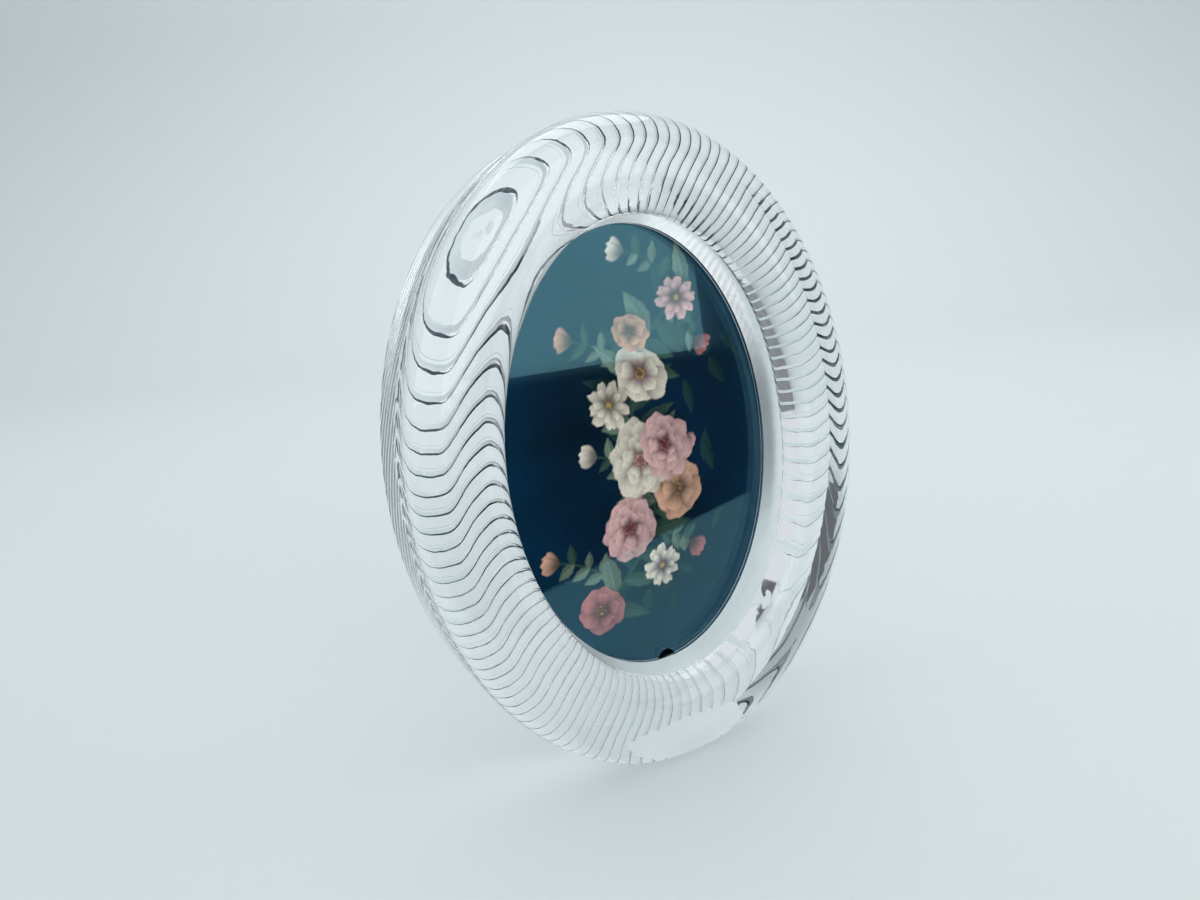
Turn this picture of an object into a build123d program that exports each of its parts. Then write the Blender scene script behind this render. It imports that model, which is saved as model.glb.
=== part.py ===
from build123d import *
import math
import os

# Oval picture frame of clear pressed crystal. It stands on a ground flat and leans back a little.
# X is the width, +Z is up, and the front looks along -Y. The origin is under the middle of the frame, on the table.

# Driving sizes of the crystal body, in millimetres and degrees
body_height = 205.0
body_width = 159.0
lean = 5.0
flank_depth = 20.5
shoulder_radius = 10.0
shoulder_turn = 90.0
face_width = 6.0
brow_radius = 24.0
brow_turn = 14.0
roll_radius = 11.5
roll_turn = 54.0
floor_thickness = 10.0
wall_draft = 1.5
foot_cut = 6.0

# Straight grooves across the back of the crystal
groove_pitch = 3.5
groove_width = 1.0
groove_depth = 0.5
groove_angle = 51.0

# Pieces laid into the recess from the front
card_thickness = 1.8
print_thickness = 0.4
pane_thickness = 3.0
pane_chamfer = 0.3
edge_clearance = 0.3
stack_gap = 0.1
notch_radius = 3.0

# One overrun for every cut
overrun = 1.0

half_height = body_height / 2
half_width = body_width / 2

# Places that follow from the sizes
lean_sine = math.sin(math.radians(lean))
lean_cosine = math.cos(math.radians(lean))
back_reach = half_height * lean_sine
front_reach = flank_depth * lean_cosine + (half_height - shoulder_radius) * lean_sine + shoulder_radius
ring_center = (0, (front_reach - back_reach) / 2, half_height * lean_cosine - foot_cut)

# The back of the crystal lies in this plane, and its normal points out of the front
back_plane = Plane(origin=ring_center, x_dir=(1, 0, 0), z_dir=(0, -lean_cosine, lean_sine))
section_plane = Plane(origin=ring_center, x_dir=back_plane.x_dir, z_dir=-back_plane.y_dir)

# The grooves rise to the right, seen from the front
groove_cosine = math.cos(math.radians(groove_angle))
groove_sine = math.sin(math.radians(groove_angle))
along_grooves = back_plane.x_dir * groove_cosine + back_plane.y_dir * groove_sine
across_grooves = back_plane.y_dir * groove_cosine - back_plane.x_dir * groove_sine
groove_plane = Plane(origin=ring_center, x_dir=across_grooves, z_dir=along_grooves)
groove_reach = math.hypot(half_width * groove_sine, half_height * groove_cosine)
groove_count = 2 * int(groove_reach / groove_pitch - 1 / 2) + 1

os.makedirs("parts", exist_ok=True)


def write(piece, name):
    piece.part.label = name
    export_step(piece.part, f"parts/{name}.step")
    box = piece.part.bounding_box()
    print(name, "solids", len(piece.part.solids()), "volume", round(piece.part.volume, 1),
          "size", [round(length, 2) for length in box.size], "low", [round(length, 2) for length in box.min])


# Section of the rim, from the outer flank over the shoulder, the face, the brow and the inner roll to the recess wall
with BuildSketch(section_plane) as rim_section:
    with BuildLine() as rim_outline:
        flank = Line((half_width, 0), (half_width, flank_depth))
        shoulder = JernArc(flank @ 1, flank % 1, shoulder_radius, shoulder_turn)
        face = PolarLine(shoulder @ 1, face_width, direction=shoulder % 1)
        brow = JernArc(face @ 1, face % 1, brow_radius, brow_turn)
        roll = JernArc(brow @ 1, brow % 1, roll_radius, roll_turn)
        spare = PolarLine(roll @ 1, overrun / 2, direction=roll % 1)
        wall = Line(spare @ 1, ((spare @ 1).X - wall_draft, floor_thickness))
        root = Line(wall @ 1, ((wall @ 1).X, 0))
        back = Line(root @ 1, flank @ 0)
    make_face()

rim_band = half_width - (roll @ 1).X
lip_depth = (roll @ 1).Y
opening_half_width = half_width - rim_band
opening_half_height = half_height - rim_band
print("rim band", round(rim_band, 2), "lip depth", round(lip_depth, 2))


def recess_inset(level):
    """How far the drafted wall of the recess has drawn in at this height above the back plane."""
    return wall_draft * (lip_depth - level) / (lip_depth - floor_thickness)


def recess_oval(level, clearance):
    """Half width and half height of the recess at this height, less a clearance."""
    inset = recess_inset(level) + clearance
    return opening_half_width - inset, opening_half_height - inset


# Crystal body: the section is swept round the oval, a flat floor closes the back of the recess, and the drafted
# recess and the straight grooves are cut
with BuildPart() as crystal_body:
    with BuildLine(back_plane) as rim_path:
        EllipticalCenterArc((0, 0), half_width, half_height, arc_size=360)
    add(rim_section.sketch)
    sweep(path=rim_path.line)
    with BuildSketch(back_plane):
        Ellipse(half_width - rim_band / 2, half_height - rim_band / 2)
    extrude(amount=floor_thickness)
    for level in (floor_thickness, lip_depth + overrun):
        with BuildSketch(back_plane.offset(level)):
            Ellipse(*recess_oval(level, 0))
    loft(mode=Mode.SUBTRACT)
    with BuildSketch(groove_plane):
        with GridLocations(groove_pitch, groove_pitch, groove_count, 1):
            groove_slope = groove_width / 2 / groove_depth
            Polygon(
                (-groove_slope * (groove_depth + overrun), -overrun),
                (groove_slope * (groove_depth + overrun), -overrun),
                (0, groove_depth),
                align=None,
            )
    extrude(amount=half_height + overrun, both=True, mode=Mode.SUBTRACT)
    split(bisect_by=Plane.XY, keep=Keep.TOP)

write(crystal_body, "crystal_body")


# Heights of the loose pieces above the back plane
card_level = floor_thickness + stack_gap
print_level = card_level + card_thickness + stack_gap
pane_level = print_level + print_thickness + stack_gap

# Stiff card behind the print
with BuildPart() as backing_card:
    with BuildSketch(back_plane.offset(card_level)):
        Ellipse(*recess_oval(card_level, edge_clearance))
    extrude(amount=card_thickness)

write(backing_card, "backing_card")

# Oval print
with BuildPart() as picture_print:
    with BuildSketch(back_plane.offset(print_level)):
        Ellipse(*recess_oval(print_level, edge_clearance))
    extrude(amount=print_thickness)

write(picture_print, "picture_print")

# Clear pane with a half-round thumb notch in its lower edge and a fine chamfer round its front
with BuildPart() as cover_pane:
    with BuildSketch(back_plane.offset(pane_level)):
        pane_oval = recess_oval(pane_level, edge_clearance)
        Ellipse(*pane_oval)
        with Locations((0, -pane_oval[1])):
            Circle(notch_radius, mode=Mode.SUBTRACT)
    extrude(amount=pane_thickness)
    front_face = faces().sort_by(Axis(back_plane.origin, back_plane.z_dir))[-1]
    chamfer(front_face.edges(), pane_chamfer)

write(cover_pane, "cover_pane")
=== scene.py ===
# %% [markdown]
# # An oval crystal picture frame
# The real object is one heavy oval of clear pressed glass. Its front is polished and rounded like a worn
# pebble, its back is flat and cut with straight slanting grooves, and a flat is ground at its lower edge to
# stand on. A print lies in a shallow recess in front, under a loose pane. Nearly everything that the eye
# sees in such a frame is refraction, so this lesson spends its effort on exact surfaces and lets the
# renderer bend the light.

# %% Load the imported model
import math

import bmesh
import bpy
import numpy as np
from mathutils import Matrix, Vector


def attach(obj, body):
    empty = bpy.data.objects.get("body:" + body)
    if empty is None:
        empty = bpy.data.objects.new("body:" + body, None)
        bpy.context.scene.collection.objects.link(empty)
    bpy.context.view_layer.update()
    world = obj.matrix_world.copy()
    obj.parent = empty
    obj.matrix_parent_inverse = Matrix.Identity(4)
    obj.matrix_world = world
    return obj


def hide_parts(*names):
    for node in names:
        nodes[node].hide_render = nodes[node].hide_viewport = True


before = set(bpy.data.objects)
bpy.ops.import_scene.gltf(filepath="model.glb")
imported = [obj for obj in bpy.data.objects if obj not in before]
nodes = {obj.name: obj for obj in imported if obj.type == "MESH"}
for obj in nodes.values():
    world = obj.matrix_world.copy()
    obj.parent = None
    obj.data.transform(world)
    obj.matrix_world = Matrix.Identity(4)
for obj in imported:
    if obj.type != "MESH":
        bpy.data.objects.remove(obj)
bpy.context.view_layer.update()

# %% [markdown]
# ## Sizes
# The frame's own sizes, in metres and radians, are those of the solid model. The back of the glass lies in
# a plane that leans back a little. A point of the glass is written as (x, v, h): x to the right, v up along
# that plane and h out of it towards the viewer.

# %% Sizes of the crystal
MM = 0.001
half_width, half_height = 79.5 * MM, 102.5 * MM
lean = math.radians(5.0)
flank_depth = 20.5 * MM
shoulder_radius, shoulder_turn = 10.0 * MM, math.radians(90.0)
face_width = 6.0 * MM
brow_radius, brow_turn = 24.0 * MM, math.radians(14.0)
roll_radius, roll_turn = 11.5 * MM, math.radians(54.0)
floor_thickness = 10.0 * MM
wall_draft = 1.5 * MM
foot_cut = 6.0 * MM
groove_pitch, groove_width, groove_depth = 3.5 * MM, 1.0 * MM, 0.5 * MM
groove_angle = math.radians(51.0)

back_reach = half_height * math.sin(lean)
shoulder_reach = (half_height - shoulder_radius) * math.sin(lean) + shoulder_radius
front_reach = flank_depth * math.cos(lean) + shoulder_reach
ring_center = np.array([0.0, (front_reach - back_reach) / 2, half_height * math.cos(lean) - foot_cut])


def stand_up(x, v, h):
    """Points of (x, v, h): the plane's up is (0, sin, cos) of the lean, its normal (0, -cos, sin)."""
    y = ring_center[1] + v * math.sin(lean) - h * math.cos(lean)
    z = ring_center[2] + v * math.cos(lean) + h * math.sin(lean)
    return np.stack([np.broadcast_to(x, y.shape), y, z], axis=-1)


# %% [markdown]
# ## The rim's section
# The rim was drawn as one line: up the outer flank, round the shoulder, across a narrow face and the brow
# and down the inner roll to the lip of the recess. Arcs that meet in a tangent still have a jump in their
# curvature, and a lens shows it as a kink in every line behind it. Hot glass rounds such jumps off. So the
# line is made from its heading: the heading is a chain of straight ramps over the length, it is blurred a
# little, and summing its cosine and sine gives the points. The roll runs on past the lip, so that the line
# can be cut where it meets the opening.

# %% Line of the rim
heading_blur = 1.5 * MM
line_step = 0.02 * MM
run_on = 1.6
leg_lengths = np.array([flank_depth, shoulder_radius * shoulder_turn, face_width, brow_radius * brow_turn,
                        roll_radius * roll_turn * run_on])
leg_turns = np.array([0.0, shoulder_turn, 0.0, brow_turn, roll_turn * run_on])
line_s = np.arange(0.0, leg_lengths.sum(), line_step)
heading = math.pi / 2 + np.interp(line_s, np.concatenate([[0], np.cumsum(leg_lengths)]),
                                  np.concatenate([[0], np.cumsum(leg_turns)]))
window = np.exp(-0.5 * (np.arange(-4 * heading_blur, 4 * heading_blur, line_step) / heading_blur) ** 2)
pad = len(window) // 2
heading = np.convolve(np.pad(heading, pad, mode="edge"), window / window.sum(), mode="same")
heading = heading[pad:pad + len(line_s)]
line_r = np.concatenate([[0], np.cumsum(-np.cos(heading[1:]) * line_step)])
line_h = np.concatenate([[0], np.cumsum(np.sin(heading[1:]) * line_step)])

face_r = shoulder_radius * (1 - math.cos(shoulder_turn))
brow_r = face_r + face_width * math.sin(shoulder_turn)
brow_end = shoulder_turn + brow_turn
roll_r = brow_r + brow_radius * (math.cos(shoulder_turn) - math.cos(brow_end))
rim_band = roll_r + roll_radius * (math.cos(brow_end) - math.cos(brow_end + roll_turn))
lip_depth = np.interp(np.interp(rim_band, line_r, line_s), line_s, line_h)
opening_half_width, opening_half_height = half_width - rim_band, half_height - rim_band
print("rim band mm", round(rim_band / MM, 2), "opening mm", round(2 * opening_half_width / MM, 1),
      "x", round(2 * opening_half_height / MM, 1))

# %% Section for every turn of the oval
crown_share = 0.9
line_rows = 70
flank_shares = np.array([0.0, 0.03, 0.35, 0.7])
wall_shares = np.array([0.04, 0.5, 1.0])


def oval(turn):
    """Outer oval at parameter turn: (a cos, b sin), and its inward normal -(b cos, a sin) made one long."""
    point = np.stack([half_width * np.cos(turn), half_height * np.sin(turn)], axis=-1)
    normal = -np.stack([half_height * np.cos(turn), half_width * np.sin(turn)], axis=-1)
    return point, normal / np.linalg.norm(normal, axis=-1, keepdims=True)


def reach_to_opening(turn):
    """How far the inward normal runs to the oval opening: the smaller root of its quadratic."""
    point, normal = oval(turn)
    half = np.array([opening_half_width, opening_half_height])
    p, n = point / half, normal / half
    a, b, c = (n * n).sum(-1), (p * n).sum(-1), (p * p).sum(-1) - 1
    return (-b - np.sqrt(b * b - a * c)) / a


def rim_section(turn, back_notch):
    """Section as (r, h) for every turn at once, in columns from the back edge to the recess floor. The line
    runs on until its r reaches this turn's opening, then the wall goes down to the floor with its draft."""
    lip = reach_to_opening(turn)[:, None]
    notch = back_notch[:, None]
    crown = flank_depth * crown_share
    end_s = np.interp(lip, line_r, line_s)
    lip_h = np.interp(end_s, line_s, line_h)
    flank_h = notch + (crown - notch) * flank_shares
    s = crown + np.linspace(0.0, 1.0, line_rows + 1) * (end_s - crown)
    r = np.hstack([0 * flank_h, np.interp(s, line_s, line_r), lip + wall_draft * wall_shares])
    h = np.hstack([flank_h, np.interp(s, line_s, line_h), lip_h + (floor_thickness - lip_h) * wall_shares])
    return r, h


# %% [markdown]
# ## Where the grooves meet the edge
# The back could be a fine grid pushed in along each groove, but then every groove edge would be a
# staircase. Here the points round the oval are put exactly where the groove lines cross it, so each land
# and each groove flank is one flat polygon from edge to edge, as a cutting wheel leaves it. Across the
# grooves a point of the oval lies at p = P sin(turn - tilt), so a groove line at p meets the oval at two
# turns that mirror each other.

# %% Turns of the oval at the groove lines
max_step = math.radians(0.34)
groove_reach = math.hypot(half_height * math.cos(groove_angle), half_width * math.sin(groove_angle))
tilt = math.atan2(half_width * math.sin(groove_angle), half_height * math.cos(groove_angle))
groove_count = 2 * int(groove_reach / groove_pitch - 1 / 2) + 1
groove_p = (np.arange(groove_count) - (groove_count - 1) / 2) * groove_pitch
line_p = np.sort(np.concatenate([groove_p - groove_width / 2, groove_p, groove_p + groove_width / 2]))
line_p = line_p[np.abs(line_p) < groove_reach]
breaks = np.concatenate([[-math.pi / 2], np.arcsin(line_p / groove_reach), [math.pi / 2]])
steps = np.maximum(1, np.ceil(np.diff(breaks) / max_step)).astype(int)
half_turns = [np.linspace(a, b, n, endpoint=False) for a, b, n in zip(breaks, breaks[1:], steps)]
half_turns = np.concatenate(half_turns + [[math.pi / 2]])
break_index = np.concatenate([[0], np.cumsum(steps)])
turns = np.concatenate([half_turns, math.pi - half_turns[-2:0:-1]]) + tilt
across = groove_reach * np.sin(turns - tilt)
nearest = np.abs(across[:, None] - groove_p[None]).min(axis=1)
back_notch = groove_depth * np.clip(1 - nearest / (groove_width / 2), 0, 1)
print("grooves", groove_count, "points round the oval", len(turns))

# %% [markdown]
# ## One closed body of glass
# The section is carried round the oval as a grid, the recess floor closes it in front and the strips
# between the groove lines close it behind. Each face is given the number of its finish: clear, lower or
# upper flank of a groove, land, or the recess wall, which looks matt. Last, a plane at table height cuts
# the ground flat.

# %% Meshes
def new_piece(name, co, faces, sharp_angle=30.0):
    """A mesh object at the origin, sharp only where two faces meet at more than that angle."""
    mesh = bpy.data.meshes.new(name)
    mesh.from_pydata(co.reshape(-1, 3), [], faces)
    mesh.polygons.foreach_set("use_smooth", np.full(len(mesh.polygons), True))
    mesh.validate()
    piece = bpy.data.objects.new(name, mesh)
    bpy.context.collection.objects.link(piece)
    mesh.set_sharp_from_angle(angle=math.radians(sharp_angle))
    return piece


def grid_faces(rows, columns):
    """Quads of a grid whose rows close into a ring: corners (i, j), (i+1, j), (i+1, j+1), (i, j+1)."""
    i, j = np.meshgrid(np.arange(rows), np.arange(columns - 1), indexing="ij")
    k = (i + 1) % rows
    quads = np.stack([i * columns + j, k * columns + j, k * columns + j + 1, i * columns + j + 1], axis=-1)
    return quads.reshape(-1, 4)


# %% Strips of the back
CLEAR, GROUND, LOWER_FLANK, UPPER_FLANK, WALL, LAND = range(6)


def back_strips(first):
    """One flat polygon for each strip between two groove lines: its turns on one side of the oval, then the
    turns that mirror them on the other side. First gives the number of each turn's first point."""
    strips = []
    for a, b in zip(break_index, break_index[1:]):
        side = np.arange(a, b + 1)
        ring = np.concatenate([side, (len(turns) - side[::-1]) % len(turns)])
        ring = ring[np.append(True, ring[1:] != ring[:-1])]
        ring = ring[:-1] if ring[0] == ring[-1] else ring
        strips.append(first[ring[::-1]].tolist())
    return strips


def strip_finishes():
    """Finish of each strip, from where its middle lies beside the middle of the nearest groove."""
    middle = groove_reach * np.sin((breaks[1:] + breaks[:-1]) / 2)
    offset = middle[:, None] - groove_p[None]
    offset = offset[np.arange(len(middle)), np.abs(offset).argmin(axis=1)]
    flank = np.where(offset < 0, LOWER_FLANK, UPPER_FLANK)
    return np.where(np.abs(offset) > groove_width / 2, LAND, flank)


# %% Crystal body
def crystal_mesh():
    """The section at every turn: x and v are the oval's point plus r times its inward normal."""
    point, normal = oval(turns)
    r, h = rim_section(turns, back_notch)
    x = point[:, None, 0] + r * normal[:, None, 0]
    v = point[:, None, 1] + r * normal[:, None, 1]
    count, columns = r.shape
    first = np.arange(count) * columns
    quads = grid_faces(count, columns)
    on_wall = np.arange(len(quads)) % (columns - 1) >= columns - 1 - len(wall_shares)
    floor = (first + columns - 1).tolist()
    piece = new_piece("crystal", stand_up(x, v, h), quads.tolist() + [floor] + back_strips(first))
    finish = np.concatenate([np.where(on_wall, WALL, CLEAR), [CLEAR], strip_finishes()])
    piece.data.polygons.foreach_set("material_index", finish)
    return piece


crystal = crystal_mesh()
print("crystal faces", len(crystal.data.polygons))

# %% Ground flat
bm = bmesh.new()
bm.from_mesh(crystal.data)
cut = bmesh.ops.bisect_plane(bm, geom=bm.verts[:] + bm.edges[:] + bm.faces[:], plane_co=(0, 0, 0),
                             plane_no=(0, 0, -1), clear_outer=True)
rim_edges = [e for e in cut["geom_cut"] if isinstance(e, bmesh.types.BMEdge) and e.is_boundary]
flat = bmesh.ops.contextual_create(bm, geom=rim_edges)["faces"]
for face in flat:
    face.material_index = GROUND
    face.smooth = False
bmesh.ops.recalc_face_normals(bm, faces=bm.faces[:])
print("volume cm3", round(bm.calc_volume(signed=True) * 1e6, 2), "open edges",
      sum(1 for e in bm.edges if not e.is_manifold), "flat faces", len(flat))
bm.to_mesh(crystal.data)
bm.free()
crystal.data.set_sharp_from_angle(angle=math.radians(30.0))
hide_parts("crystal_body")
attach(crystal, "frame")

# %% [markdown]
# ## Glass
# Clear crystal has a refractive index near 1.53 and almost no colour. Light goes through it to the print
# and the table, so for shadow rays the material is simply clear, and the lamps shine straight through it.

# %% Nodes
def add_node(tree, kind, inputs, **settings):
    """New node. Settings are its own properties and are set first. Inputs gives for each socket a value or
    the output that feeds it."""
    node = tree.nodes.new("ShaderNode" + kind)
    for name, value in settings.items():
        setattr(node, name, value)
    for socket, value in inputs.items():
        if isinstance(value, bpy.types.NodeSocket):
            tree.links.new(value, node.inputs[socket])
        else:
            node.inputs[socket].default_value = value
    return node


def number_node(tree, operation, *values):
    """Math node; each value is a number or the output that feeds it."""
    return add_node(tree, "Math", dict(enumerate(values)), operation=operation).outputs["Value"]


def between(tree, value, low, high):
    """Soft step from 0 at low to 1 at high."""
    step = add_node(tree, "MapRange", {"Value": value, "From Min": low, "From Max": high},
                    interpolation_type="SMOOTHSTEP")
    return step.outputs["Result"]


def blend_node(tree, factor, a, b, **settings):
    """Mix of two colours; each is a colour or the output that feeds it."""
    mix = add_node(tree, "Mix", {"Factor": factor, "A": a, "B": b}, data_type="RGBA", **settings)
    return mix.outputs["Result"]


def new_material(name, colour, roughness):
    """Material with its Principled shader's colour and roughness; gives back its tree and shader too."""
    material = bpy.data.materials.new(name)
    material.use_nodes = True
    shader = material.node_tree.nodes["Principled BSDF"]
    shader.inputs["Base Color"].default_value = (*colour, 1)
    shader.inputs["Roughness"].default_value = roughness
    return material, material.node_tree, shader


# %% Clear glass
crystal_index = 1.53
shadow_tint = (0.95, 0.96, 0.96)


def clear_glass(name, colour, index=crystal_index, roughness=0.0, share_through=1.0):
    """Refraction for every ray but shadow rays, which pass with a slight tint. Where less than all of the
    light goes through, the rest meets a matt surface of the same colour."""
    material, tree, shader = new_material(name, colour, roughness)
    shader.inputs["Transmission Weight"].default_value = share_through
    shader.inputs["IOR"].default_value = index
    passing = add_node(tree, "BsdfTransparent", {"Color": (*shadow_tint, 1)})
    path = add_node(tree, "LightPath", {})
    mix = add_node(tree, "MixShader", {"Fac": path.outputs["Is Shadow Ray"], 1: shader.outputs["BSDF"],
                                       2: passing.outputs["BSDF"]})
    tree.links.new(mix.outputs["Shader"], tree.nodes["Material Output"].inputs["Surface"])
    return material


def fire_polish(material, depth, scale):
    """The slight unevenness of fire-polished glass: a soft noise on Object coordinates, as relief."""
    tree = material.node_tree
    place = add_node(tree, "TexCoord", {})
    ripple = add_node(tree, "TexNoise", {"Vector": place.outputs["Object"], "Scale": scale, "Detail": 1.5})
    bump = add_node(tree, "Bump", {"Height": ripple.outputs["Fac"], "Strength": 1.0, "Distance": depth})
    tree.links.new(bump.outputs["Normal"], tree.nodes["Principled BSDF"].inputs["Normal"])
    return material


glass = fire_polish(clear_glass("crystal_clear", (0.99, 1.0, 1.0)), 0.08 * MM, 150.0)
ground = clear_glass("crystal_ground_flat", (0.88, 0.93, 0.95), roughness=0.5, share_through=0.4)
pressed_wall = clear_glass("crystal_pressed_wall", (0.92, 0.985, 0.99), roughness=0.3)

# %% [markdown]
# ## Painted shade along the grooves
# The photograph shows the grooves through the front only, as dark lines that come and go, with thin paler
# lines between them. These are painted into the colour of the back as shade: a grey painted shade on the
# flanks of each groove, darkest on the lower flank, which is also partly matt, and a thin painted dark line
# on the land beside it. Both follow the grooves, so their pattern is read in coordinates that lie along and
# across them.

# %% Pattern along the grooves
# Size and range of the painted shade's noise, and place and width of its thin painted dark lines.
shade_scale = 1100.0
shade_stretch = (0.06, 0.3, 1.0)
shade_low, shade_high = 0.38, 0.58
shade_line_offset, shade_line_core, shade_line_edge = 0.95 * MM, 0.02 * MM, 0.09 * MM


def back_coordinates(tree):
    """Object coordinates from the middle of the back, x along the grooves and z across them."""
    sine, cosine = math.sin(groove_angle), math.cos(groove_angle)
    along = Vector((cosine, sine * math.sin(lean), sine * math.cos(lean)))
    over = Vector((-sine, cosine * math.sin(lean), cosine * math.cos(lean)))
    axes = Matrix((along, over.cross(along), over)).transposed()
    place = add_node(tree, "TexCoord", {})
    turn = add_node(tree, "Mapping", {"Vector": place.outputs["Object"], "Location": tuple(ring_center),
                                      "Rotation": axes.to_euler()}, vector_type="TEXTURE")
    return turn.outputs["Vector"]


def shade_share(tree, where):
    """Share of painted shade from 0 to 1: a noise stretched along the grooves, with its middle range spread
    out.
    """
    stretch = add_node(tree, "VectorMath", {0: where, 1: shade_stretch}, operation="MULTIPLY")
    noise = add_node(tree, "TexNoise", {"Vector": stretch.outputs["Vector"], "Scale": shade_scale,
                                        "Detail": 2.0})
    spread = add_node(tree, "MapRange", {"Value": noise.outputs["Fac"], "From Min": shade_low,
                                         "From Max": shade_high})
    return spread.outputs["Result"]


def painted_shade_line(tree, where):
    """1 on a thin painted dark line beside each groove, else 0: the place across the grooves, wrapped to one
    pitch, less the line's own place, is nearly zero there."""
    place = add_node(tree, "SeparateXYZ", {"Vector": where}).outputs["Z"]
    wrapped = number_node(tree, "WRAP", place, groove_pitch / 2, -groove_pitch / 2)
    gap = number_node(tree, "ABSOLUTE", number_node(tree, "SUBTRACT", wrapped, shade_line_offset))
    return between(tree, gap, shade_line_edge, shade_line_core)


def painted_groove_shade(material, shade_colour, only_on_lines=False):
    """Blend the glass's own colour to that of the painted shade, all over or only on the thin painted lines.
    """
    tree = material.node_tree
    socket = tree.nodes["Principled BSDF"].inputs["Base Color"]
    where = back_coordinates(tree)
    amount = shade_share(tree, where)
    if only_on_lines:
        amount = number_node(tree, "MULTIPLY", painted_shade_line(tree, where), amount)
    clear = tuple(socket.default_value)
    tree.links.new(blend_node(tree, amount, clear, (*shade_colour, 1)), socket)
    return material


# %% Finishes of the grooved back
# Painted shade: lower flanks dark and partly matt, upper flanks greyed, thin dark lines on the lands.
lower_flank = painted_groove_shade(clear_glass("crystal_groove_lower_painted_shade", (0.2, 0.26, 0.3), share_through=0.36),
                    (0.03, 0.07, 0.1))
upper_flank = painted_groove_shade(clear_glass("crystal_groove_upper_painted_shade", (0.95, 0.97, 0.98)), (0.7, 0.78, 0.82))
land = painted_groove_shade(clear_glass("crystal_land_painted_lines", (0.98, 0.995, 1.0)), (0.42, 0.49, 0.54), only_on_lines=True)
finishes = {CLEAR: glass, GROUND: ground, LOWER_FLANK: lower_flank, UPPER_FLANK: upper_flank,
            WALL: pressed_wall, LAND: land}
for number in sorted(finishes):
    crystal.data.materials.append(finishes[number])
print("crystal finishes", [finish.name for finish in crystal.data.materials])

# %% [markdown]
# ## Card
# A stiff card keeps the print flat. From the front it is hidden, and from behind it is the dark oval seen
# through the grooves, so it gets a fibre grain: a fine noise stretched across the sheet, in colour and in
# relief.

# %% Card material
def grained(name, dark, light, scale, stretch, roughness, relief):
    """Surface whose colour runs between two tones by a stretched noise, which is its bump too."""
    material, tree, shader = new_material(name, dark, roughness)
    place = add_node(tree, "TexCoord", {})
    turn = add_node(tree, "Mapping", {"Vector": place.outputs["Object"], "Scale": stretch})
    grain = add_node(tree, "TexNoise", {"Vector": turn.outputs["Vector"], "Scale": scale, "Detail": 6.0})
    bump = add_node(tree, "Bump", {"Height": grain.outputs["Fac"], "Strength": 0.5, "Distance": relief})
    tones = blend_node(tree, grain.outputs["Fac"], (*dark, 1), (*light, 1))
    tree.links.new(tones, shader.inputs["Base Color"])
    tree.links.new(bump.outputs["Normal"], shader.inputs["Normal"])
    return material


card_black = grained("card_black", (0.006, 0.008, 0.012), (0.02, 0.024, 0.032), 900.0, (1.0, 1.0, 0.25), 0.8,
                     0.05 * MM)
for slot in nodes["backing_card"].material_slots:
    slot.material = card_black

# %% [markdown]
# ## Print
# The print is a thin oval sheet. Its front is a fine grid, and every point of the grid carries its own ink
# as a colour attribute, so the picture needs no image file. The square grid is bent into the oval with
# x = a u sqrt(1 - v^2 / 2), y = b v sqrt(1 - u^2 / 2). The design is a generic garland of open blossoms on
# a dark ground.

# %% Points of the print
def recess_oval(level, clearance):
    """Half width and half height of the drafted recess at a height over the back, less a clearance."""
    inset = wall_draft * (lip_depth - level) / (lip_depth - floor_thickness) + clearance
    return opening_half_width - inset, opening_half_height - inset


card_thickness, print_thickness, stack_gap, edge_clearance = 1.8 * MM, 0.4 * MM, 0.1 * MM, 0.3 * MM
print_level = floor_thickness + stack_gap + card_thickness + stack_gap
print_half_width, print_half_height = recess_oval(print_level, edge_clearance)
columns_u, rows_v = 252, 372
grid_u, grid_v = np.meshgrid(np.linspace(-1, 1, columns_u), np.linspace(-1, 1, rows_v), indexing="ij")
sheet_x = print_half_width * grid_u * np.sqrt(1 - grid_v ** 2 / 2)
sheet_v = print_half_height * grid_v * np.sqrt(1 - grid_u ** 2 / 2)
ink_x, ink_y = sheet_x.ravel() / MM, sheet_v.ravel() / MM
ink = np.zeros((ink_x.size, 3))
print("print mm", round(2 * print_half_width / MM, 2), "x", round(2 * print_half_height / MM, 2), "points",
      ink_x.size)

# %% Strokes
def soft(edge_0, edge_1, value):
    """Smooth step: 3 t^2 - 2 t^3 with t the clipped share between two edges."""
    t = np.clip((value - edge_0) / (edge_1 - edge_0), 0, 1)
    return t * t * (3 - 2 * t)


def screen(*code):
    """Linear colour of a screen colour of 0 to 255."""
    share = np.array(code) / 255
    return np.where(share < 0.04045, share / 12.92, ((share + 0.055) / 1.055) ** 2.4)


def waves(x, y, size, seed, octaves=4):
    """Soft field: sine waves in random directions, each octave twice as fine and half as strong."""
    rng = np.random.default_rng(seed)
    angle, phase = rng.uniform(0, math.pi, (octaves, 5)), rng.uniform(0, 2 * math.pi, (octaves, 5))
    step = 2.0 ** np.arange(octaves)[:, None]
    reach = 2 * math.pi * step / size * rng.uniform(0.7, 1.3, (octaves, 5))
    run = x[:, None, None] * np.cos(angle) + y[:, None, None] * np.sin(angle)
    return (np.sin(run * reach + phase) / step / 4).sum(axis=(1, 2))


def near(place, reach):
    """Numbers of the points within reach of a place."""
    return np.flatnonzero((ink_x - place[0]) ** 2 + (ink_y - place[1]) ** 2 < reach ** 2)


def turned(x, y, place, angle):
    """How far points lie from a place along a direction and across it."""
    dx, dy = x - place[0], y - place[1]
    return dx * math.cos(angle) + dy * math.sin(angle), -dx * math.sin(angle) + dy * math.cos(angle)


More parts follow.
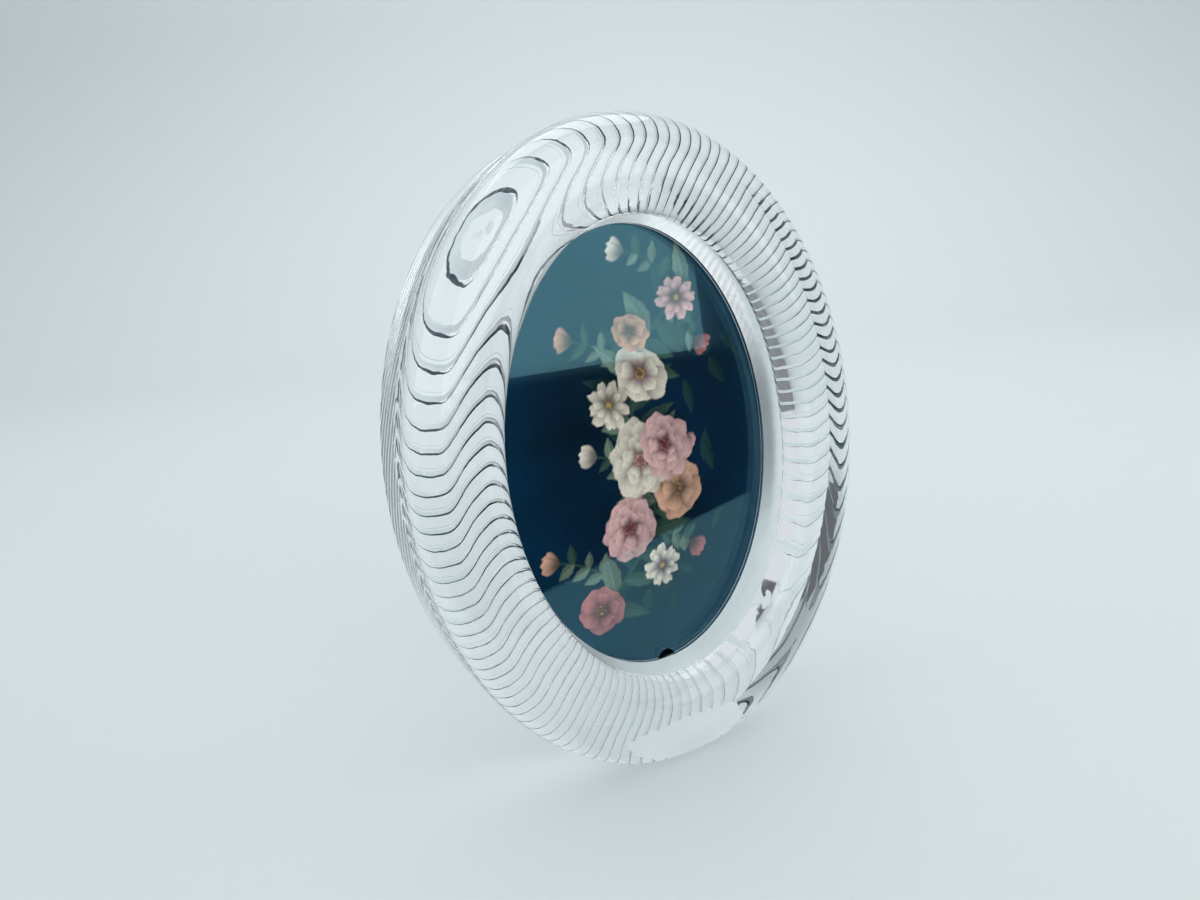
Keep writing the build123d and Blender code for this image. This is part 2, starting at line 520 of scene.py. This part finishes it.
def petal(colour, x, y, place, angle, length, width, base, tip, seed):
    """Petal along angle. Its half width at share s of its length is 0.62 width sqrt(s) sqrt(1 - s^5), so it
    is round at the tip. It darkens to its root and its sides, and fine streaks run along it."""
    along, across = turned(x, y, place, angle)
    ruffle = 1 + 0.06 * np.sin(across / width * 5 + seed) + 0.036 * np.sin(across / width * 11 + 2 * seed)
    s = along / length / ruffle
    inside = np.clip(s, 0, 1)
    half = 0.62 * width * np.sqrt(inside) * np.sqrt(1 - inside ** 5)
    mask = soft(-0.25, 0.25, half - np.abs(across)) * (s > 0) * (s < 1)
    t = across / np.maximum(half, 1e-6)
    shade = 0.35 + 0.65 * soft(0.05, 0.85, inside)
    streak = 1 + 0.07 * np.sin(t * 9 + seed * 3) * (1 - inside * 0.4) + 0.05 * np.sin(t * 23 + seed)
    edge = 1 + 0.20 * soft(0.72, 1.0, inside) - 0.30 * soft(0.55, 1.0, np.abs(t)) * (1 - 0.6 * inside)
    light = 1 + 0.12 * math.cos(angle - 2.1) - 0.10 * t * math.sin(angle - 2.1)
    paint = (base + (tip - base) * soft(0.1, 0.8, inside)[:, None]) * (shade * streak * edge * light)[:, None]
    return colour + (np.clip(paint, 0, 1) - colour) * mask[:, None]


def leaf(place, angle, length, width, tone, seed, bend):
    """Leaf with a midrib bent by s^2. Its half width is width sin(pi s^0.8), and one side is lighter."""
    k = near(place, 1.3 * length)
    along, across = turned(ink_x[k], ink_y[k], place, angle)
    s = along / length
    across = across - bend * length * s * s
    inside = np.clip(s, 0, 1)
    half = width * np.sin(math.pi * inside ** 0.8) * (1 + 0.06 * np.sin(inside * 26 + seed))
    mask = soft(-0.25, 0.25, half - np.abs(across)) * (s > 0) * (s < 1)
    t = across / np.maximum(half, 1e-6)
    veins = np.sin((inside * 9 - np.abs(t) * 1.6) * math.pi * 1.5 + seed)
    light = 0.72 + 0.35 * soft(-0.2, 0.6, t * math.copysign(1, math.sin(angle - 0.6))) + 0.07 * veins
    ink[k] += (np.clip(tone * light[:, None], 0, 1) - ink[k]) * mask[:, None]
    rib = 0.55 * mask * soft(0.35, 0.1, np.abs(across)) * soft(0.98, 0.6, inside)
    ink[k] += (tone * 1.7 - ink[k]) * rib[:, None]


def stem(x, y, width, tone):
    """Stem: paint where the nearest point of its curve is closer than its width."""
    k = near((x.mean(), y.mean()), np.hypot(x - x.mean(), y - y.mean()).max() + 2)
    gap = np.hypot(ink_x[k][:, None] - x[None], ink_y[k][:, None] - y[None]).min(axis=1)
    ink[k] += (tone - ink[k]) * soft(width, width * 0.5, gap)[:, None]


def bloom(place, radius, rings, base, tip, heart, seed):
    """Open blossom seen a little from the side: rings of petals from the outside in, each (length share,
    count, petal width share), shaded ring by ring, then a heart of stamens."""
    rng = np.random.default_rng(seed)
    k = near(place, 1.4 * radius)
    x, y = turned(ink_x[k], ink_y[k], place, 0.3 * seed)
    y = y / 0.88
    colour, far = ink[k], np.hypot(x - radius * 0.1, y + radius * 0.14)
    colour = colour * (1 - 0.75 * soft(radius * 1.25, radius * 0.7, far))[:, None]
    for ring, (share, count, span) in enumerate(rings):
        start = rng.uniform(0, 2 * math.pi)
        for number in rng.permutation(count):
            angle = start + 2 * math.pi * number / count + rng.uniform(-0.12, 0.12)
            length = radius * share * rng.uniform(0.9, 1.06)
            tint = (0.86 + 0.14 * (ring + 1) / len(rings)) * rng.uniform(0.92, 1.06)
            root = (0.06 * radius * math.cos(angle), 0.06 * radius * math.sin(angle))
            colour = petal(colour, x, y, root, angle, length, length * span, base * tint, tip * tint,
                           rng.uniform(0, 6))
        reach = radius * share * 0.42
        colour = colour * (1 - 0.22 * soft(reach * 1.25, reach * 0.7, far))[:, None]
    gap = np.hypot(x, y)
    dots = soft(0.6, 0.9, 0.5 + 0.5 * np.sin(np.arctan2(y, x) * 17 + gap * 9))
    colour += (heart[0] - colour) * soft(radius * 0.2, radius * 0.06, gap)[:, None]
    ring_mask = soft(radius * 0.26, radius * 0.18, gap) * soft(radius * 0.08, radius * 0.13, gap) * dots
    ink[k] = colour + (heart[1] - colour) * ring_mask[:, None]


# %% Ground and colours of the design
green, sage, teal = screen(62, 92, 78), screen(120, 146, 128), screen(34, 70, 72)
pink, cream, peach = screen(226, 190, 190), screen(232, 230, 214), screen(218, 178, 152)
rose, lilac, wine = screen(190, 128, 128), screen(196, 178, 190), screen(150, 84, 90)
yellow, brown = screen(196, 170, 96), screen(120, 90, 50)
mottle = 1 + 0.35 * waves(ink_x, ink_y, 60, 3) + 0.12 * waves(ink_x, ink_y, 14, 4)
border = soft(0.55, 1.0, np.hypot(ink_x / (print_half_width / MM), ink_y / (print_half_height / MM)))
ink[:] = screen(0, 27, 54) * np.clip(mottle, 0.3, 2)[:, None] + screen(2, 42, 62) * (0.45 * border)[:, None]


def garland(t):
    """Garland line for t from 0 to 1: it climbs from the lower left to the upper right in one slow wave."""
    return -24 + 50 * t + 13 * np.sin(2 * math.pi * t * 0.95 + 0.2), -50 + 102 * t


# %% Leaves, stems and buds
rng = np.random.default_rng(12)
for k in range(26):
    x, y = garland(rng.uniform(0.0, 1.0))
    place = (x + rng.uniform(-26, 26), y + rng.uniform(-12, 12))
    leaf(place, rng.uniform(0, 2 * math.pi), rng.uniform(7, 13), rng.uniform(1.3, 2.4),
         teal * rng.uniform(0.5, 0.9), k, rng.uniform(-0.3, 0.3))
stem(*garland(np.linspace(0, 1, 160)), 0.8, green * 0.8)
for k, t in enumerate([0.06, 0.2, 0.36, 0.55, 0.72, 0.86, 0.97]):
    way = -1 if k % 2 else 1
    heading_t = 1.1 + way * (0.9 + 0.9 * np.linspace(0, 1, 46))
    x, y = garland(t)
    x = x + np.cumsum(np.cos(heading_t)) * 0.5 * (1.0 + 0.2 * way)
    y = y + np.cumsum(np.sin(heading_t)) * 0.5
    stem(x, y, 0.5, green * 0.75)
    for m in (14, 24, 34):
        for hand in (-1, 1):
            tone = (green if rng.uniform() < 0.6 else sage) * rng.uniform(0.7, 1.0)
            leaf((x[m], y[m]), heading_t[m] + hand * 0.9, rng.uniform(4.5, 7.5), rng.uniform(1.3, 2.0), tone,
                 rng.uniform(0, 6), 0.15 * hand)
    root = (x[-1] - math.cos(heading_t[-1]) * 1.2, y[-1] - math.sin(heading_t[-1]) * 1.2)
    window = near(root, 9.0)
    for hand in (-0.42, 0.42, 0.0):
        tone = (peach, rose, cream, pink)[k % 4]
        ink[window] = petal(ink[window], ink_x[window], ink_y[window], root, heading_t[-1] + hand, 6.0, 4.4,
                            tone * 0.55, tone * (0.85 if hand else 1.0), k + hand)
for k in range(30):
    (x, y), (x2, y2) = garland((k + 0.5) / 30), garland((k + 0.8) / 30)
    hand = 1 if k % 2 else -1
    tone = (green, sage, green, teal)[k % 4] * rng.uniform(0.75, 1.1)
    leaf((x, y), math.atan2(y2 - y, x2 - x) + hand * rng.uniform(0.7, 1.5), rng.uniform(11, 18),
         rng.uniform(2.4, 3.8), tone, rng.uniform(0, 6), hand * rng.uniform(0.05, 0.25))

# %% Blossoms
five = [(1.0, 5, 1.30), (0.72, 5, 1.05)]
full = [(1.0, 8, 0.95), (0.82, 7, 0.95), (0.62, 6, 0.95), (0.42, 5, 0.95)]
star = [(1.0, 9, 0.55), (0.7, 8, 0.5)]
blossoms = [
    (0.02, -2, -1, 8.0, five, rose * 0.8, rose, (brown, yellow)),
    (0.14, 9, -4, 7.0, star, lilac * 0.7, cream, (yellow, brown)),
    (0.20, -6, 5, 10.5, full, rose * 0.55, pink, (wine * 0.6, rose)),
    (0.33, 9, 1, 9.0, five, peach * 0.75, peach, (brown, yellow)),
    (0.42, -3, 4, 12.5, full, pink * 0.5, cream, (rose * 0.6, peach)),
    (0.56, 10, -7, 10.5, full, wine * 0.8, pink, (wine * 0.5, rose)),
    (0.60, -8, 5, 8.0, star, cream * 0.7, cream, (yellow, brown)),
    (0.73, 3, 0, 9.5, five, pink * 0.75, cream, (brown, yellow)),
    (0.84, -6, 2, 6.5, five, peach * 0.7, peach, (brown, yellow)),
    (0.94, 2, 1, 7.5, star, rose * 0.8, pink, (yellow, brown)),
]
for seed, (t, dx, dy, radius, rings, base, tip, heart) in enumerate(blossoms, 1):
    x, y = garland(t)
    bloom((x + dx, y + dy), radius, rings, base, tip, heart, seed)
ink = np.clip(ink, 0, 1)
print("blossoms", len(blossoms), "brightest ink", ink.max(axis=0).round(2))

# %% Print sheet
def print_sheet():
    """Front grid, the same edge again on the back, a wall between them and one flat face behind."""
    front = stand_up(sheet_x, sheet_v, print_level + print_thickness).reshape(-1, 3)
    number = np.arange(columns_u * rows_v).reshape(columns_u, rows_v)
    edge = np.concatenate([number[:-1, 0], number[-1, :-1], number[:0:-1, -1], number[0, :0:-1]])
    back = stand_up(sheet_x.ravel()[edge], sheet_v.ravel()[edge], print_level)
    quads = np.stack([number[:-1, :-1], number[1:, :-1], number[1:, 1:], number[:-1, 1:]], axis=-1)
    behind = len(front) + np.arange(len(edge))
    wall = np.stack([edge, behind, np.roll(behind, -1), np.roll(edge, -1)], axis=-1)
    faces = quads.reshape(-1, 4).tolist() + wall.tolist() + [behind[::-1].tolist()]
    sheet = new_piece("print_sheet", np.concatenate([front, back]), faces)
    layer = sheet.data.color_attributes.new("ink", "FLOAT_COLOR", "POINT")
    tones = np.concatenate([ink, np.broadcast_to(screen(214, 214, 208), (len(edge), 3))])
    layer.data.foreach_set("color", np.hstack([tones, np.ones((len(tones), 1))]).ravel())
    return sheet


sheet = print_sheet()
print("print sheet faces", len(sheet.data.polygons))
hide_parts("picture_print")
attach(sheet, "print")

# %% Print material
print_coat = (0.3, 0.8, 1.0)


def inked(name):
    """Satin printed paper: the ink attribute times a faint paper grain, with the grain as relief."""
    material = grained(name, (0.94, 0.94, 0.94), (1.0, 1.0, 1.0), 2500.0, (1.0, 1.0, 1.0), 0.42, 0.004 * MM)
    tree = material.node_tree
    shader = tree.nodes["Principled BSDF"]
    shader.inputs["Specular IOR Level"].default_value = 0.12
    shader.inputs["Specular Tint"].default_value = (*print_coat, 1)
    layer = add_node(tree, "VertexColor", {}, layer_name="ink")
    grain = shader.inputs["Base Color"].links[0].from_socket
    tones = blend_node(tree, 1.0, layer.outputs["Color"], grain, blend_type="MULTIPLY")
    tree.links.new(tones, shader.inputs["Base Color"])
    return material


sheet.data.materials.append(inked("print_ink"))

# %% [markdown]
# ## Cover pane
# The pane lies loose on the print. Its lower edge has a half-round notch for a fingernail, through which
# the bare print shows darker, because no pane reflects there. The outline is the recess oval with the
# notch's circle cut in, and a fine chamfer runs round the front. What it reflects looks blue-green in the
# photograph, so it is taken to have a thin coating: a higher index for the strength of the reflection, and
# a tint for its colour.

# %% Pane
pane_thickness, pane_chamfer, notch_radius = 3.0 * MM, 0.3 * MM, 3.0 * MM
pane_level = print_level + print_thickness + stack_gap


def pane_outline():
    """Oval (a sin t, -b cos t) from the notch's right end to its left end, then the notch's own arc."""
    a, b = recess_oval(pane_level, edge_clearance)
    t = np.linspace(0, 2 * math.pi, 2881)
    x, v = a * np.sin(t), -b * np.cos(t)
    outside = np.hypot(x, v + b) > notch_radius
    x, v = x[outside], v[outside]
    start, end = math.atan2(v[-1] + b, x[-1]), math.atan2(v[0] + b, x[0])
    start = start if start > 0 else start + 2 * math.pi
    arc = np.linspace(start, end, 40)[1:-1]
    arc_x, arc_v = notch_radius * np.cos(arc), notch_radius * np.sin(arc) - b
    return np.concatenate([x, arc_x]), np.concatenate([v, arc_v])


def pane_mesh():
    """Three rings of the outline: back, edge of the chamfer, and front, drawn in along its normal."""
    x, v = pane_outline()
    run_x, run_v = np.roll(x, -1) - np.roll(x, 1), np.roll(v, -1) - np.roll(v, 1)
    length = np.hypot(run_x, run_v)
    in_x, in_v = x - pane_chamfer * run_v / length, v + pane_chamfer * run_x / length
    top = pane_level + pane_thickness
    co = np.concatenate([stand_up(x, v, pane_level), stand_up(x, v, top - pane_chamfer),
                         stand_up(in_x, in_v, top)])
    n = len(x)
    k = np.arange(n)
    j = (k + 1) % n
    rings = [np.stack([k + low, j + low, j + low + n, k + low + n], axis=-1) for low in (0, n)]
    return new_piece("pane", co, np.concatenate(rings).tolist() + [(k + 2 * n).tolist(), k[::-1].tolist()])


pane = pane_mesh()
bm = bmesh.new()
bm.from_mesh(pane.data)
print("pane points", len(bm.verts), "volume cm3", round(bm.calc_volume(signed=True) * 1e6, 2), "open edges",
      sum(1 for e in bm.edges if not e.is_manifold))
bm.free()
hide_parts("cover_pane")
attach(pane, "pane")

# %% Pane glass
pane_coat = (0.27, 0.70, 0.83)
pane_glass = clear_glass("pane_clear", (1.0, 1.0, 1.0), index=1.6)
pane_glass.node_tree.nodes["Principled BSDF"].inputs["Specular Tint"].default_value = (*pane_coat, 1)
pane.data.materials.append(pane_glass)

# %% [markdown]
# ## Studio
# Clear glass has no colour of its own, so it shows what stands round it. A pale paper sweep starts just in
# front of the frame and runs up behind it. It carries the shadow, and from the front it is what stands
# behind the glass.

# %% Floor and backdrop
paper_colour = (0.665, 0.716, 0.72)
camera_turn = 27.02
away = np.array([math.sin(math.radians(camera_turn)), math.cos(math.radians(camera_turn))])
side = np.array([away[1], -away[0]])
floor_front, floor_back, bend = -0.175, 0.9, 0.6
half_sweep, paper_gap = 3.0, 0.05 * MM


def paper_sweep():
    """Floor line t from front to back, then a quarter arc t = back + b sin p, z = b (1 - cos p), then
    straight up. It lies a hair below the table height, clear of the ground flat."""
    arc = np.linspace(0, math.pi / 2, 24)[1:]
    t = np.concatenate([np.linspace(floor_front, floor_back, 30), floor_back + bend * np.sin(arc),
                        np.full(6, floor_back + bend)])
    z = np.concatenate([np.zeros(30), bend * (1 - np.cos(arc)), bend + np.linspace(0.4, 2.4, 6)])
    z = z - paper_gap
    s = np.linspace(-half_sweep, half_sweep, 13)
    x = s[:, None] * side[0] + t[None] * away[0]
    y = s[:, None] * side[1] + t[None] * away[1]
    co = np.stack([x, y, np.broadcast_to(z, x.shape)], axis=-1)
    i, j = np.meshgrid(np.arange(len(s) - 1), np.arange(len(t) - 1), indexing="ij")
    k = i * len(t) + j
    quads = np.stack([k, k + len(t), k + len(t) + 1, k + 1], axis=-1).reshape(-1, 4)
    return new_piece("paper_sweep", co, quads.tolist())


stage = paper_sweep()
stage.data.materials.append(new_material("stage_paper", paper_colour, 0.9)[0])

# %% [markdown]
# ## Room
# In one plain pale world the grooves still show as lines. But the pane then loses the dark band across its
# middle, and the rim loses the dark bands at its right edge. So the world is a made-up room, in tones that
# change with the direction: pale walls, a paler ceiling, and dark parts low in front and at a few bearings.
# They were placed by trial, to bring the glass and the pane near to the photograph. The camera itself sees
# only the paper's tone there, so the background stays plain.

# %% World directions
world = bpy.data.worlds.new("studio")
bpy.context.scene.world = world
world.use_nodes = True
tree = world.node_tree
direction = add_node(tree, "SeparateXYZ", {"Vector": add_node(tree, "TexCoord", {}).outputs["Generated"]})
height = direction.outputs["Z"]
minus_y = number_node(tree, "MULTIPLY", direction.outputs["Y"], -1.0)
bearing = number_node(tree, "ARCTAN2", direction.outputs["X"], minus_y)


def beyond(start, end):
    """Soft step over the bearing, in degrees to the right of the front: 0 at start, 1 at end."""
    return between(tree, bearing, math.radians(start), math.radians(end))


# %% Walls and overhead
wall_tones = tree.nodes.new("ShaderNodeValToRGB")
room_stops = [(-180, 0.2), (-152, 0.2), (-146, 0.07), (-128, 0.07), (-105, 0.72), (33, 0.72), (36, 0.06),
              (43, 0.06), (46, 0.72), (115, 0.72), (130, 0.3), (180, 0.2)]
ramp = wall_tones.color_ramp
while len(ramp.elements) < len(room_stops):
    ramp.elements.new(0.5)
for element, (angle, tone) in zip(ramp.elements, room_stops):
    element.position = (angle + 180) / 360
    element.color = (tone * 0.96, tone, tone * 1.04, 1)
tree.links.new(number_node(tree, "MULTIPLY_ADD", bearing, 0.5 / math.pi, 0.5), wall_tones.inputs["Fac"])
walls = blend_node(tree, between(tree, height, 0.35, 0.8), wall_tones.outputs["Color"], (0.70, 0.74, 0.77, 1))
print("room stops", len(room_stops))

# %% Dark part of the room
# The dark part ends at a horizon, which is higher on the right of the front, and far lower past the dark
# stop there. On the left it is half lit. One small dark patch high on the left is there only to put a dark
# shape in the lower right of the rim.
dark_tone = (0.012, 0.02, 0.026, 1)
horizon = number_node(tree, "MULTIPLY_ADD", beyond(4, 16), 0.12, -0.12)
horizon = number_node(tree, "MULTIPLY_ADD", beyond(43, 47), -0.6, horizon)
above_horizon = between(tree, number_node(tree, "SUBTRACT", height, horizon), -0.01, 0.02)
half_lit = number_node(tree, "MULTIPLY", beyond(-45, -51), 0.3)
lit = number_node(tree, "MAXIMUM", above_horizon, half_lit)
patch_sides = number_node(tree, "MULTIPLY", beyond(-49, -47.5), beyond(-43, -44.5))
patch_ends = number_node(tree, "MULTIPLY", between(tree, height, 0.48, 0.51),
                         between(tree, height, 0.74, 0.70))
patch = number_node(tree, "MULTIPLY", patch_sides, patch_ends)
past_patch = number_node(tree, "MULTIPLY_ADD", patch, -0.9, 1.0)
room_colour = blend_node(tree, number_node(tree, "MULTIPLY", lit, past_patch), dark_tone, walls)

# %% What the camera sees of the world
room = tree.nodes["Background"]
tree.links.new(room_colour, room.inputs["Color"])
seen = add_node(tree, "Background", {"Color": (*paper_colour, 1)})
path = add_node(tree, "LightPath", {})
choose = add_node(tree, "MixShader", {"Fac": path.outputs["Is Camera Ray"], 1: room.outputs["Background"],
                                      2: seen.outputs["Background"]})
tree.links.new(choose.outputs["Shader"], tree.nodes["World Output"].inputs["Surface"])

# %% [markdown]
# ## Lamps
# Two large lamps light the paper and the print softly. The smaller one stands in front of the frame. The
# larger one hangs above and behind it, turned towards the backdrop, so the shadow falls forward and stays
# faint.

# %% Lamps
def soft_box(name, place, aim, width, height, radiance):
    """Area lamp of a given brightness: its power is brightness x area x pi."""
    lamp = bpy.data.lights.new(name, "AREA")
    lamp.shape = "RECTANGLE"
    lamp.size, lamp.size_y = width, height
    lamp.energy = radiance * width * height * math.pi
    box = bpy.data.objects.new(name, lamp)
    bpy.context.collection.objects.link(box)
    box.location = place
    box.rotation_euler = (Vector(aim) - Vector(place)).to_track_quat("-Z", "Y").to_euler()
    return box


soft_box("front_box", (0.25, -0.8, 0.37), (0.25, 0.0, 0.37), 0.66, 0.48, 1.06)
soft_box("top_box", (0.3, 0.35, 1.5), (0.5, 0.75, 0.2), 1.4, 1.2, 2.25)

# %% [markdown]
# ## Camera
# The camera's direction is given by its turn round the frame, its tilt and its roll. From these come the
# picture's right and up, and the eye is put at its distance from the middle of the rim, a little aside.

# %% Camera
picture_width = 1200
camera_tilt, camera_roll = 14.64, -4.54
camera_distance, aside, above, focal_pixels = 265.4 * MM, 13.02 * MM, -1.05 * MM, 820.0
turn, tilt_up, roll = (math.radians(angle) for angle in (camera_turn, camera_tilt, camera_roll))
back = np.array([-math.sin(turn) * math.cos(tilt_up), -math.cos(turn) * math.cos(tilt_up), math.sin(tilt_up)])
level_right = np.array([math.cos(turn), -math.sin(turn), 0.0])
level_up = np.cross(back, level_right)
right = level_right * math.cos(roll) + level_up * math.sin(roll)
up = -level_right * math.sin(roll) + level_up * math.cos(roll)
target = ring_center + np.array([0, -13.0 * MM, 0])
eye = target + back * camera_distance - right * aside - up * above

lens = bpy.data.cameras.new("camera")
camera = bpy.data.objects.new("camera", lens)
bpy.context.collection.objects.link(camera)
camera.matrix_world = Matrix([[right[k], up[k], back[k], eye[k]] for k in range(3)] + [[0, 0, 0, 1]])
lens.sensor_width = 36
lens.lens = lens.sensor_width * focal_pixels / picture_width
lens.clip_start = 0.01
bpy.context.scene.camera = camera
print("camera at mm", (eye / MM).round(1))

# %% Light paths
scene = bpy.context.scene
scene.view_settings.view_transform = "Standard"
scene.cycles.max_bounces = 28
scene.cycles.transmission_bounces = 24
scene.cycles.transparent_max_bounces = 16
